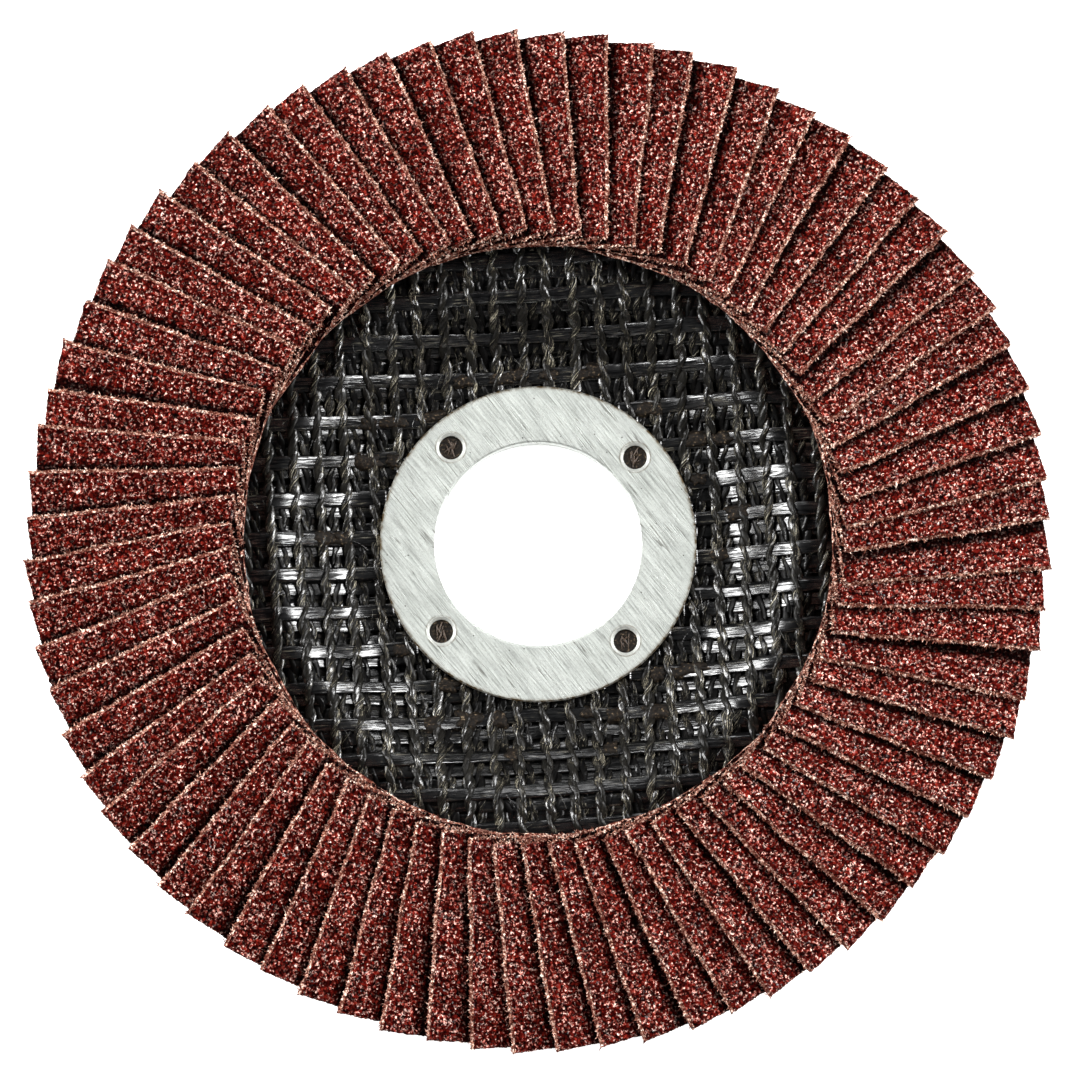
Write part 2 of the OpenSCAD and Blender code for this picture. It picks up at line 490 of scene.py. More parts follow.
def brown_thread_material():
    """Broken glass threads stained brown by resin."""
    n = Nodes("brown_glass_thread")
    filaments = n.noise(n.scaled(n.attribute("strand"), (0.8, 3.0, 3.0)), 1.0, 2.0, 0.6)
    brown = n.ramp(
        filaments,
        (0.35, (0.012, 0.007, 0.004)),
        (0.55, (0.045, 0.027, 0.016)),
        (0.7, (0.20, 0.14, 0.10)),
    )
    n.set(Base_Color=brown)
    n.set(Roughness=n.grey(filaments, 0.2, 0.45))
    n.set(Normal=n.bump(filaments, 0.4, 0.00005))
    return n.material


def resin_material():
    """Set black phenolic resin, glossy where it pooled and brown and dull where it foamed."""
    n = Nodes("black_resin")
    where = n.where()
    patches = n.noise(where, 300, 4.0, 0.6)
    grit = n.noise(where, 6000, 3.0, 0.6)
    brown = n.ramp(
        grit,
        (0.40, (0.0025, 0.0019, 0.0015)),
        (0.62, (0.012, 0.008, 0.0053)),
        (0.78, (0.09, 0.055, 0.03)),
    )
    dull = n.grey(patches, 0.0, 1.0, 0.45, 0.58)
    n.set(Base_Color=n.mix(dull, (0.0010, 0.0010, 0.0012), brown))
    n.set(Roughness=n.grey(patches, 0.2, 0.65, 0.4, 0.6))
    n.set(Specular_IOR_Level=0.12)
    n.set(Normal=n.bump(grit, 0.35, 0.00008, n.bump(n.noise(where, 1500, 3.0), 0.4, 0.0002)))
    return n.material


def lump_material():
    """Brown-black resin with a dull skin."""
    n = Nodes("brown_resin_lumps")
    where = n.where()
    grit = n.noise(where, 3200, 4.0, 0.65)
    brown = n.ramp(
        grit,
        (0.35, (0.0025, 0.0018, 0.0013)),
        (0.55, (0.008, 0.0055, 0.0035)),
        (0.62, (0.03, 0.020, 0.012)),
        (0.70, (0.20, 0.15, 0.095)),
    )
    n.set(Base_Color=brown)
    n.set(Roughness=n.grey(grit, 0.5, 0.75))
    n.set(Specular_IOR_Level=0.12)
    n.set(Normal=n.bump(grit, 0.6, 0.00014))
    return n.material


def ring_material():
    """Zinc-plated steel with fine slanting scratches, dark specks and a brown line of stain at its edges, a
    painted highlight round the lips of the pierced holes and painted shade on the bend into the bore.
    """
    n = Nodes("zinc_steel")
    where = n.where()
    flat = n.add("VectorMath", {"operation": "MULTIPLY"}, i0=where, i1=(1, 1, 0)).outputs[0]
    slant = math.radians(51)
    brushed = n.noise(n.scaled(where, (300, 15000, 2000), slant), 1.0, 1.5, 0.6)
    hairs = n.noise(n.scaled(where, (65, 3400, 400), slant), 1.0, 0.0, 0.5)
    hairline = n.grey(n.maths("ABSOLUTE", n.maths("SUBTRACT", hairs, 0.5)), 1.0, 0.0, 0.016, 0.036)
    gouges = n.maths("MULTIPLY", hairline, n.grey(n.noise(where, 330, 2.0), 0.0, 1.0, 0.40, 0.60))
    cloud = n.noise(where, 240, 3.0)
    peppered = n.noise(where, 5200, 2.0, 0.7)
    radius = n.add("VectorMath", {"operation": "LENGTH"}, i0=flat).outputs["Value"]
    rim = n.grey(radius, 0.0, 1.0, ring_r - 0.55 * MM, ring_r - 0.1 * MM)
    mottle = n.grey(n.noise(where, 1500, 3.0), 0.25, 1.0, 0.38, 0.6)
    lip = None
    for hole in ring_holes:
        measure = n.add("VectorMath", {"operation": "DISTANCE"}, i0=flat, i1=(hole[0], hole[1], 0))
        away = measure.outputs["Value"]
        lip = away if lip is None else n.maths("MINIMUM", lip, away)
    off_line = n.maths("ABSOLUTE", n.maths("SUBTRACT", lip, hole_r + 0.40 * MM))
    edge = n.grey(off_line, 0.6, 0.0, 0.02 * MM, 0.12 * MM)
    stain = n.maths("MULTIPLY", n.maths("MAXIMUM", n.maths("MULTIPLY", rim, rim), edge), mottle)
    base = n.mix(n.grey(cloud, 0.0, 1.0, 0.35, 0.65), (0.60, 0.63, 0.59), (0.67, 0.70, 0.66))
    base = n.mix(n.grey(peppered, 0.35, 0.0, 0.34, 0.48), base, (0.30, 0.31, 0.29))
    base = n.mix(n.grey(brushed, 0.40, 0.0, 0.36, 0.48), base, (0.30, 0.315, 0.30))
    base = n.mix(n.maths("MULTIPLY", gouges, 0.75), base, (0.12, 0.115, 0.10))
    # painted shade on the bend into the bore
    base = n.mix(n.grey(radius, 0.5, 0.0, bore_r + 0.12 * MM, bore_r + 0.32 * MM), base, (0.42, 0.44, 0.42))
    # painted highlight on the rounded lips of the pierced holes
    base = n.mix(n.grey(lip, 0.9, 0.0, hole_r + 0.26 * MM, hole_r + 0.34 * MM), base, (0.80, 0.82, 0.78))
    base = n.mix(n.grey(n.cells(where, 700), 0.9, 0.0, 0.035, 0.07), base, (0.03, 0.025, 0.02))
    base = n.mix(stain, base, (0.13, 0.085, 0.035))
    n.set(Base_Color=base)
    n.set(Metallic=0.8)
    n.set(Roughness=n.grey(brushed, 0.36, 0.52, 0.35, 0.65))
    n.set(Normal=n.bump(n.maths("SUBTRACT", brushed, gouges), 0.3, 0.00003))
    return n.material


def epoxy_material():
    """Filled epoxy, dull and mottled."""
    n = Nodes("set_epoxy")
    where = n.where()
    mottle = n.noise(where, 1400, 4.0, 0.65)
    tan = n.ramp(
        mottle,
        (0.3, (0.05, 0.032, 0.022)),
        (0.6, (0.14, 0.09, 0.06)),
        (0.8, (0.30, 0.22, 0.16)),
    )
    n.set(Base_Color=tan)
    n.set(Roughness=n.grey(mottle, 0.35, 0.75))
    n.set(Normal=n.bump(n.noise(where, 2500, 3.0), 0.5, 0.0002))
    return n.material


def paper_material():
    """Unprinted label paper, slightly yellowed and scuffed."""
    n = Nodes("label_paper")
    where = n.where()
    fibres = n.noise(n.scaled(where, (2500, 9000, 2500), 0.5), 1.0, 4.0, 0.7)
    scuffs = n.noise(where, 90, 5.0, 0.7)
    paper = n.mix(n.grey(fibres, 0.0, 1.0, 0.35, 0.65), (0.50, 0.47, 0.40), (0.64, 0.62, 0.56))
    n.set(Base_Color=n.mix(n.grey(scuffs, 0.0, 0.7, 0.55, 0.72), paper, (0.16, 0.13, 0.10)))
    n.set(Roughness=n.grey(fibres, 0.7, 0.9))
    n.set(Normal=n.bump(fibres, 0.3, 0.00005))
    return n.material


def floor_material():
    """Plain pale studio floor."""
    n = Nodes("pale_floor")
    tone = n.noise(n.where(), 3.0, 2.0)
    n.set(Base_Color=n.mix(tone, (0.90, 0.90, 0.90), (0.93, 0.93, 0.93)))
    n.set(Roughness=0.9)
    n.set(Emission_Color=(1, 1, 1, 1))
    n.set(Emission_Strength=0.6)
    return n.material


grain = grain_material()
cloth = cloth_material()
resin = resin_material()
warp_yarn = yarn_material("glass_warp_yarn", (0.011, 0.0100, 0.0080), 1.0, 0.10, 0.7, 0.3)
weft_yarn = yarn_material("glass_weft_tape", (0.0045, 0.0045, 0.0047), 0.2, 0.6, 1.0, 0.5)
# darker copies of the warp and weft for the deeper layers: painted shade in the mesh's windows
shaded_sunk_warp = yarn_material("sunk_warp_yarn", (0.0022, 0.0019, 0.0017), 0.5, 0.03, 0.22, 0.25)
shaded_sunk_weft = yarn_material("sunk_weft_tape", (0.0012, 0.0012, 0.0012), 0.1, 0.5, 0.95, 0.4)
bare_glass = yarn_material("bare_glass_thread", (0.012, 0.011, 0.009), 1.0, 0.6, 1.0, 0.2)
brown_glass = brown_thread_material()
dull_resin = lump_material()

# ---- abrasive flaps

FLAP_PITCH = math.pi / len(PAIR_NODES)
GRAIN_STEP = 0.135 * MM
GRAIN_PITCH = 0.40 * MM
GRAIN_HEIGHT = 0.17 * MM
BURIED_STEP = 0.6 * MM
OPEN_WIDTH = 5.6 * MM
CLOTH_SHARE = 0.62
# width of the painted shade under the next flap's raised edge
FOLD_SHADE_WIDTH = 0.75 * MM
FIBRES_PER_FLAP = 210
BACK_COLUMNS = 7
# how much of the inner end shows its cut cloth, without a coat over it
BARE_END_SHARE = 0.55
# levels in the cloth's thickness, and how far its cut frays there, in millimetres
FRAYED_LEVELS = ((0.95, 0.24), (0.45, 0.34), (0.0, 0.08))
GRAIN_SLOT, CLOTH_SLOT = 0, 1


def loose_parts(node):
    """The separate solids of a CAD node, each as its corners, in order round the disc."""
    bm = bmesh.new()
    bm.from_mesh(frame["nodes"][node].data)
    bmesh.ops.remove_doubles(bm, verts=bm.verts, dist=1e-6)
    bm.verts.index_update()
    left = {v.index: v for v in bm.verts}
    parts = []
    while left:
        stack = [left.pop(min(left))]
        part = []
        while stack:
            vert = stack.pop()
            part.append(tuple(vert.co))
            for edge in vert.link_edges:
                other = edge.other_vert(vert)
                if left.pop(other.index, None):
                    stack.append(other)
        parts.append(np.array(part))
    bm.free()
    turns = [math.atan2(p[:, 1].mean(), p[:, 0].mean()) for p in parts]
    return [parts[k] for k in np.argsort(turns)]


def flap_frame(corners):
    """A flap's inner corner at its raised edge, its axes (outwards, down across, facing) and its sizes."""
    centre = corners.mean(0)
    outward, across, facing = np.linalg.svd(corners - centre)[2]
    outward *= np.sign(outward[:2] @ centre[:2])
    across *= -np.sign(across[2])
    facing *= np.sign(facing[2])
    length, width, thick = (np.ptp(corners @ axis) for axis in (outward, across, facing))
    corner = centre - (outward * length + across * width + facing * thick) / 2
    return corner, np.array((outward, across, facing)), (length, width, thick)


def covered_from(corner, axes, length):
    """Where the next flap's raised edge crosses this flap, at its inner and outer ends."""
    c, s = math.cos(FLAP_PITCH), math.sin(FLAP_PITCH)
    turn = np.array([[c, s, 0], [-s, c, 0], [0, 0, 1]])
    inner, outer = ((corner + axes[0] * u) @ turn for u in (0, length))
    return (inner - corner) @ axes[1], (outer - corner) @ axes[1]


def flap_lines(length, width):
    """Where the rows and columns of a flap's grid lie, the columns wider apart under the next flap."""
    u_line = np.linspace(0, length, int(length / GRAIN_STEP) + 1)
    v_line = np.concatenate([
        np.arange(0, OPEN_WIDTH, GRAIN_STEP),
        np.linspace(OPEN_WIDTH, width, int((width - OPEN_WIDTH) / BURIED_STEP) + 1),
    ])
    return u_line, v_line


class Rim:
    """The points round the edge of a flap's grid, which way each faces out and how worn it is."""

    def __init__(self, rows, columns):
        cells = np.array([(i, 0) for i in range(rows)]
                         + [(rows - 1, j) for j in range(1, columns)]
                         + [(i, columns - 1) for i in range(rows - 2, -1, -1)]
                         + [(0, j) for j in range(columns - 2, 0, -1)])
        self.row, self.column, self.count = cells[:, 0], cells[:, 1], len(cells)
        self.out_u = np.where(self.row == rows - 1, 1.0, 0.0) - np.where(self.row == 0, 1.0, 0.0)
        self.out_v = np.where(self.column == columns - 1, 1.0, 0.0) - np.where(self.column == 0, 1.0, 0.0)
        self.raised = self.column == 0
        self.worn = np.where(self.raised | (self.row == 0), 1.0, 0.35)
        self.along = np.arange(self.count) * GRAIN_STEP


def grain_coat(u_line, v_line, rim, cloth_t, thick, rng):
    """Points of a flap's grainy top, chipped back along the cut, and the height of each grain."""
    u, v = (a.copy() for a in np.meshgrid(u_line, v_line, indexing="ij"))
    inner = (slice(1, -1), slice(1, -1))
    u[inner] += rng.uniform(-0.3, 0.3, u[inner].shape) * GRAIN_STEP
    v[inner] += rng.uniform(-0.3, 0.3, u[inner].shape) * np.minimum(np.diff(v_line)[1:], GRAIN_STEP)[None]
    height = cell_noise(u, v, GRAIN_PITCH, rng)
    w = cloth_t + (thick - cloth_t) * 0.35 + GRAIN_HEIGHT * height
    bite = smooth_noise(rim.along, rng, 0.34 * MM, 1.0)
    notch = smooth_noise(rim.along, rng, 1.3 * MM, 0.09)
    speck = rng.uniform(0, 1, rim.count)
    chip = rim.worn * (0.07 + 0.20 * np.clip(bite, 0, 1) + np.abs(notch) + 0.10 * speck) * MM
    u[rim.row, rim.column] -= rim.out_u * chip
    v[rim.row, rim.column] -= rim.out_v * chip
    w[rim.row, rim.column] = cloth_t + (thick - cloth_t) * rng.uniform(0.1, 0.7, rim.count)
    return np.stack([u, v, w], -1).reshape(-1, 3), height


def frayed_loops(u_line, v_line, rim, cloth_t, rng):
    """Points of the cut cloth below the coat, one loop round the flap for each level."""
    loops = []
    for share, fray in FRAYED_LEVELS:
        level = share * cloth_t
        wander = 0.5 * smooth_noise(rim.along, rng, 0.5 * MM, 1.0) + 0.6 * rng.uniform(-0.5, 1.0, rim.count)
        push = fray * MM * np.where(rim.row == 0, 0.55, 0.3 + 0.7 * rim.worn) * wander
        sink = 0.12 * cloth_t * rng.uniform(-1, 1, rim.count) * (level > 0)
        u, v = u_line[rim.row] + rim.out_u * push, v_line[rim.column] + rim.out_v * push
        loops.append(np.stack([u, v, level + sink], -1))
    return loops


def back_shape(u_line, v_line, rim, loop_first, spare):
    """Points inside a flap's back, and the faces between them and the lowest frayed loop."""
    rows, columns = len(u_line), len(v_line)
    at = {(int(i), int(j)): loop_first + k for k, (i, j) in enumerate(zip(rim.row, rim.column))}
    picks = sorted({0, columns - 1} | {int(c) for c in np.linspace(0, columns - 1, BACK_COLUMNS)})
    inside = []
    for i in range(1, rows - 1):
        for j in picks[1:-1]:
            at[(i, j)] = spare + len(inside)
            inside.append((u_line[i], v_line[j], 0.0))
    quads = [[at[(i + 1, a)], at[(i + 1, b)], at[(i, b)], at[(i, a)]]
             for i in range(1, rows - 2) for a, b in zip(picks, picks[1:])]
    ends = []
    for row, beside in ((0, 1), (rows - 1, rows - 2)):
        for a, b in zip(picks, picks[1:]):
            line = [at[(row, j)] for j in range(a, b + 1)] + [at[(beside, b)], at[(beside, a)]]
            ends.append(np.array([line[::-1] if row == 0 else line]))
    return np.array(inside), [np.array(quads), *ends]


def frayed_threads(length, cloth_t, rng):
    """Threads that stick out along a flap's raised edge and its inner end."""
    threads = Parts()
    for _ in range(FIBRES_PER_FLAP):
        size = rng.uniform(0.12, 0.42) * MM
        way = np.array([rng.uniform(-1.3, 1.3), -1.0, rng.uniform(-0.1, 0.9)])
        root = np.array([rng.uniform(0, length), 0.06 * MM, rng.uniform(0.3, 1.15) * cloth_t])
        if rng.uniform() < 0.3:
            way = way[[1, 0, 2]]
            root[:2] = 0.04 * MM, rng.uniform(0, OPEN_WIDTH)
        t = np.linspace(0, 1, 4)[:, None]
        curl = rng.uniform(-0.7, 0.7, 3)
        thin = rng.uniform(0.045, 0.095) * MM * np.array([1, 1, 0.85, 0.4])
        threads.add(*tube(root + size * (way * t + curl * t * t), np.array([0.3, 0.1, 1.0]), thin, thin, 4))
    return np.concatenate(threads.points), np.concatenate(threads.faces)


def settle(local, length, width, rng):
    """Gives a flap its own wavy edge and a little lift, bow, sag, yaw and shift."""
    wander = smooth_noise(local[:, 0], rng, 5 * MM, 0.13 * MM)
    local[:, 1] += wander * np.clip(1 - local[:, 1] / OPEN_WIDTH, 0, 1)
    lift = rng.normal(0, 0.009)
    local[:, 2] += lift * (width - local[:, 1])
    bow = rng.uniform(-0.10, 0.16) * MM
    local[:, 2] += bow * np.sin(math.pi * np.clip(local[:, 1] / width, 0, 1))
    sag = smooth_noise(local[:, 0], rng, 7 * MM, 0.10 * MM)
    local[:, 2] += sag * np.clip(1 - local[:, 1] / width, 0, 1)
    yaw = rng.normal(0, math.radians(0.35))
    middle = local[:, 0] - length / 2
    across = local[:, 1] - width / 2
    local[:, 0] += -math.sin(yaw) * across + np.clip(rng.normal(0, 0.13), -0.3, 0.3) * MM
    local[:, 1] += math.sin(yaw) * middle


def flap_mesh(corners, rng):
    """Points, faces and attributes of one flap: grain on top, ragged cut edges and cloth behind."""
    corner, axes, (length, width, thick) = flap_frame(corners)
    cloth_t = CLOTH_SHARE * thick
    u_line, v_line = flap_lines(length, width)
    rows, columns = len(u_line), len(v_line)
    rim = Rim(rows, columns)
    top, height = grain_coat(u_line, v_line, rim, cloth_t, thick, rng)
    loops = frayed_loops(u_line, v_line, rim, cloth_t, rng)
    # point numbers: the top's come first, and then those of each loop
    first = rows * columns
    back_first = first + (len(loops) - 1) * rim.count
    inside, back_faces = back_shape(u_line, v_line, rim, back_first, first + len(loops) * rim.count)
    ring = np.arange(rim.count)
    after = np.roll(ring, -1)
    edge = rim.row * columns + rim.column
    coat_faces = np.stack([edge[after], first + after, first + ring, edge[ring]], 1)
    wall_faces = []
    for k in range(len(loops) - 1):
        high, low = first + k * rim.count, first + (k + 1) * rim.count
        wall_faces.append(np.stack([high + after, low + after, low + ring, high + ring], 1))
    bare = rim.raised | ((rim.row == 0) & (rng.uniform(0, 1, rim.count) < BARE_END_SHARE))
    thread_points, thread_faces = frayed_threads(length, cloth_t, rng)
    cloth_end = first + len(loops) * rim.count + len(inside)
    local = np.concatenate([top, *loops, inside, thread_points])
    grain_faces = [grid_quads(rows, columns), coat_faces[~bare]]
    cloth_faces = [coat_faces[bare], *wall_faces, *back_faces, thread_faces + cloth_end]
    grain_height = np.zeros(len(local))
    grain_height[:first] = np.clip(height, 0, 1).ravel()
    # the cut edge's low height shows as painted shade beside it
    grain_height[edge] = 0.45
    grain_height[cloth_end:] = 0.35
    # 1 on the back and its lowest frayed loop, so the lower cut walls fade towards it as painted shade
    cloth_back_and_wall_shade = np.zeros(len(local))
    cloth_back_and_wall_shade[back_first:cloth_end] = 1.0
    # how deep a point lies under the next flap's raised edge, where the grain's colour and glints are
    # darkened as painted shade
    cover_in, cover_out = covered_from(corner, axes, length)
    cover = cover_in + (cover_out - cover_in) * local[:, 0] / length
    painted_fold_shade = np.clip((local[:, 1] - cover + FOLD_SHADE_WIDTH) / FOLD_SHADE_WIDTH, 0, 1)
    settle(local, length, width, rng)
    turn = np.clip(rng.normal(0, math.radians(0.22)), -math.radians(0.5), math.radians(0.5))
    spin = np.array([[math.cos(turn), math.sin(turn), 0], [-math.sin(turn), math.cos(turn), 0], [0, 0, 1]])
    world = (corner + local @ axes) @ spin
    faces = grain_faces + cloth_faces
    if np.linalg.det(axes) < 0:
        faces = [f[:, ::-1] for f in faces]
    slots = [GRAIN_SLOT] * len(grain_faces) + [CLOTH_SLOT] * len(cloth_faces)
    return world, faces, slots, {"grain_height": grain_height, "cloth_back_and_wall_shade": cloth_back_and_wall_shade, "painted_fold_shade": painted_fold_shade}


def build_flaps():
    for number, node in enumerate(PAIR_NODES):
        points, faces, slots, layers, count = [], [], [], [], 0
        for which, corners in enumerate(loose_parts(node)):
            rng = np.random.default_rng(SEED + 10 * number + which)
            world, own_faces, own_slots, own_layers = flap_mesh(corners, rng)
            points.append(world)
            faces += [f + count for f in own_faces]
            slots += own_slots
            layers.append(own_layers)
            count += len(world)
        piece = add_mesh(
            node.replace("flap_pair", "cloth_flaps"),
            np.concatenate(points),
            faces,
            [grain, cloth],
            slots,
            {key: np.concatenate([layer[key] for layer in layers]) for key in layers[0]},
        )
        place(piece, "abrasive_cloth", node)


build_flaps()

# ---- woven glass plies

WEFT_PITCH = 4.15 * MM
WARP_PITCH = 2.85 * MM
TAPE_HALF_W = 0.79 * MM
TAPE_HALF_T = 0.10 * MM
YARN_HALF_W = 0.33 * MM
YARN_HALF_T = 0.19 * MM
YARN_SWING = 0.27 * MM
YARN_TWIST = 1250
TAPE_SIDES = 16
STEP = 0.27 * MM
# how far the mesh is turned from +X
TURN = math.radians(3.3)


def chords(offset, r_in, r_out):
    """Stretches of a line at this distance from the centre that lie between two radii."""
    if abs(offset) >= r_out - 0.5 * MM:
        return []
    far = math.sqrt(r_out**2 - offset**2)
    if abs(offset) >= r_in:
        return [(-far, far)]
    near = math.sqrt(r_in**2 - offset**2)
    return [(-far, -near), (near, far)]


def laid(x, y, lift, turn, surface, facing):
    """Points turned about the axis and laid at a height above a surface, and the surface's normals."""
    c, s = math.cos(turn), math.sin(turn)
    px, py = c * x - s * y, s * x + c * y
    r = np.hypot(px, py)
    small = 0.05 * MM
    slope = (surface(r + small) - surface(r - small)) / (2 * small)
    up = np.stack([-slope * px / r, -slope * py / r, np.ones_like(r)], -1) * facing
    up /= np.linalg.norm(up, axis=1)[:, None]
    return np.stack([px, py, surface(r)], -1) + up * lift[:, None], up


def weft_tapes(lay, radii, depth, shift, step, rng):
    """The flat weft tapes of one layer of mesh."""
    tapes = Parts()
    count = int(radii[1] / WEFT_PITCH) + 2
    for k in range(-count, count + 1):
        y0 = shift[1] + k * WEFT_PITCH
        for start, end in chords(y0, *radii):
            x = np.linspace(start, end, max(int((end - start) / (1.3 * step)), 4))
            y = y0 + smooth_noise(x, rng, 9 * MM, 0.16 * MM)
            lift = depth + smooth_noise(x, rng, 3 * MM, 0.03 * MM)
            path, up = lay(x, y, lift)
            half = TAPE_HALF_W * (1 + smooth_noise(x, rng, 4 * MM, 0.10))
            ridges = 1 + 0.18 * rng.uniform(-1, 1, (1, TAPE_SIDES))
            ridges = ridges + 0.04 * rng.uniform(-1, 1, (len(x), TAPE_SIDES))
            tapes.add(*tube(path, up, half, TAPE_HALF_T, TAPE_SIDES, rng.uniform(0, 90), ridges=ridges))
    return tapes


def warp_yarns(lay, radii, depth, shift, step, sides, squash, rng):
    """Pairs of twisted warp yarns that cross between the tapes of one layer of mesh."""
    yarns = Parts()
    count = int(radii[1] / WARP_PITCH) + 2
    over = TAPE_HALF_T + YARN_HALF_T * 0.8
    cross = YARN_HALF_T * 0.9
    angle = circle(sides)
    for k in range(-count, count + 1):
        x0 = shift[0] + k * WARP_PITCH + rng.uniform(-0.16, 0.16) * MM
        for start, end in chords(x0, *radii):
            y = np.linspace(start, end, max(int((end - start) / step), 4))
            phase = math.pi * (y - shift[1]) / WEFT_PITCH
            drift = smooth_noise(y, rng, 8 * MM, 0.14 * MM)
            hand = rng.choice([-1, 1])
            for sign in (1, -1):
                x = x0 + drift + hand * sign * YARN_SWING * np.sin(2 * phase)
                rise = cross + (over - cross) * np.cos(phase) ** 2
                path, up = lay(x, y, depth + sign * rise * np.cos(2 * phase) * squash)
                swell = 1 + 0.22 * np.sin(phase) ** 2 + smooth_noise(y, rng, 2 * MM, 0.14)
                lobes = 1 + 0.22 * np.cos(2 * (angle[None] + YARN_TWIST * (y[:, None] - start)))
                lobes = lobes + 0.05 * rng.uniform(-1, 1, lobes.shape)
                half, thick = YARN_HALF_W * swell, YARN_HALF_T * squash
                yarns.add(*tube(path, up, half, thick, sides, rng.uniform(0, 90), YARN_TWIST, lobes))
    return yarns


def weave(name, surface, facing, radii, depth, turn, shift, seed, nodes, yarn_materials, sides=12, step=STEP,
          squash=1.0):
    """One layer of leno mesh. With one material it has only its weft, and with two its warp as well."""

    def lay(x, y, lift):
        return laid(x, y, lift, turn, surface, facing)

    rng = np.random.default_rng(seed)
    tapes = weft_tapes(lay, radii, depth, shift, step, rng)
    place(tapes.piece(name + "_weft", yarn_materials[0]), "glass_resin", *nodes)
    if len(yarn_materials) > 1:
        yarns = warp_yarns(lay, radii, depth, shift, step, sides, squash, rng)
        place(yarns.piece(name + "_warp", yarn_materials[1]), "glass_resin", *nodes)


def loose_hairs(name, surface, depth, radii, count, seed, nodes):
    """Single glass threads that came loose from the mesh and set in the resin on top of it."""
    rng = np.random.default_rng(seed)
    hairs = Parts()
    for _ in range(count):
        r = rng.uniform(radii[0] + 1.5 * MM, radii[1] - 2.5 * MM)
        a = rng.uniform(0, 2 * math.pi)
        heading = rng.choice([0.0, math.pi / 2]) + TURN + rng.normal(0, 0.45)
        size = rng.uniform(1.0, 3.2) * MM
        t = np.linspace(-0.5, 0.5, 9)
        bend = rng.uniform(-0.5, 0.5) * size * t * t
        x = r * math.cos(a) + size * t * math.cos(heading) - bend * math.sin(heading)
        y = r * math.sin(a) + size * t * math.sin(heading) + bend * math.cos(heading)
        lift = depth + rng.uniform(0, 0.08) * MM - 0.9 * MM * (2 * np.abs(t)) ** 3 * rng.uniform(0.1, 0.4)
        path, up = laid(x, y, lift, 0.0, surface, 1)
        thin = rng.uniform(0.02, 0.045) * MM
        hairs.add(*tube(path, up, thin, thin, 4, rng.uniform(0, 90)))
    place(hairs.piece(name, bare_glass), "glass_resin", *nodes)


def lump(top, under, rings, around):
    """A closed shape from the rings of its top, stored from the middle outwards, and of its underside."""
    quads = grid_quads(rings, around, closed=True)
    wall = np.arange(around) + (rings - 1) * around
    after = np.roll(wall, -1)
    sides = np.stack([wall, wall + len(top), after + len(top), after], 1)
    return np.concatenate([top, under]), np.concatenate([quads, quads[:, ::-1] + len(top), sides])


def resin_patches(name, surface, radii, turn, shift, seed, nodes):
    """Brown resin that squeezed through the mesh beside the ring and set on top of its tapes."""
    rng = np.random.default_rng(seed)
    lumps = Parts()
    rings, around = 10, 40
    middle_z = 0.24
    a = circle(around)
    share = np.linspace(0, 1, rings)[:, None]
    square = (np.abs(np.cos(a)) ** 3 + np.abs(np.sin(a)) ** 3) ** (-1 / 3)
    reach = int(radii[1] / WARP_PITCH) + 1
    for row in range(-reach, reach + 1):
        for column in range(-reach, reach + 1):
            x0 = shift[0] + (column + rng.uniform(-0.3, 0.5)) * WARP_PITCH
            y0 = shift[1] + row * WEFT_PITCH + rng.uniform(-0.25, 0.25) * MM
            far = (math.hypot(x0, y0) - radii[0]) / (radii[1] - radii[0])
            wide, tall = rng.uniform(1.0, 2.1) * MM, rng.uniform(0.7, 1.0) * MM
            waves = [rng.uniform(-0.13, 0.13) * np.cos(k * a + rng.uniform(0, 6.3)) for k in (2, 3, 4, 5, 7)]
            edge = 1 + sum(waves)
            skin = 0.035 * MM * rng.uniform(-1, 1, (rings, around))
            chance = 0.8 * max(1 - far, 0) ** 1.3
            if rng.uniform(0, 1) > chance or far < 0:
                continue
            x = x0 + wide * share * edge * square * np.cos(a)
            y = y0 + tall * share * edge * square * np.sin(a)
            lift = (middle_z - 0.92 * share**5) * MM + skin
            lift[0] = middle_z * MM
            top, _ = laid(x.ravel(), y.ravel(), lift.ravel(), turn, surface, 1)
            under = top.copy()
            sunk = surface(np.hypot(top[:, 0], top[:, 1])) - 0.8 * MM
            under[:, 2] = np.minimum(top[:, 2] - 0.05 * MM, sunk)
            lumps.add(*lump(top, under, rings, around))
    place(lumps.piece(name, dull_resin), "glass_resin", *nodes)


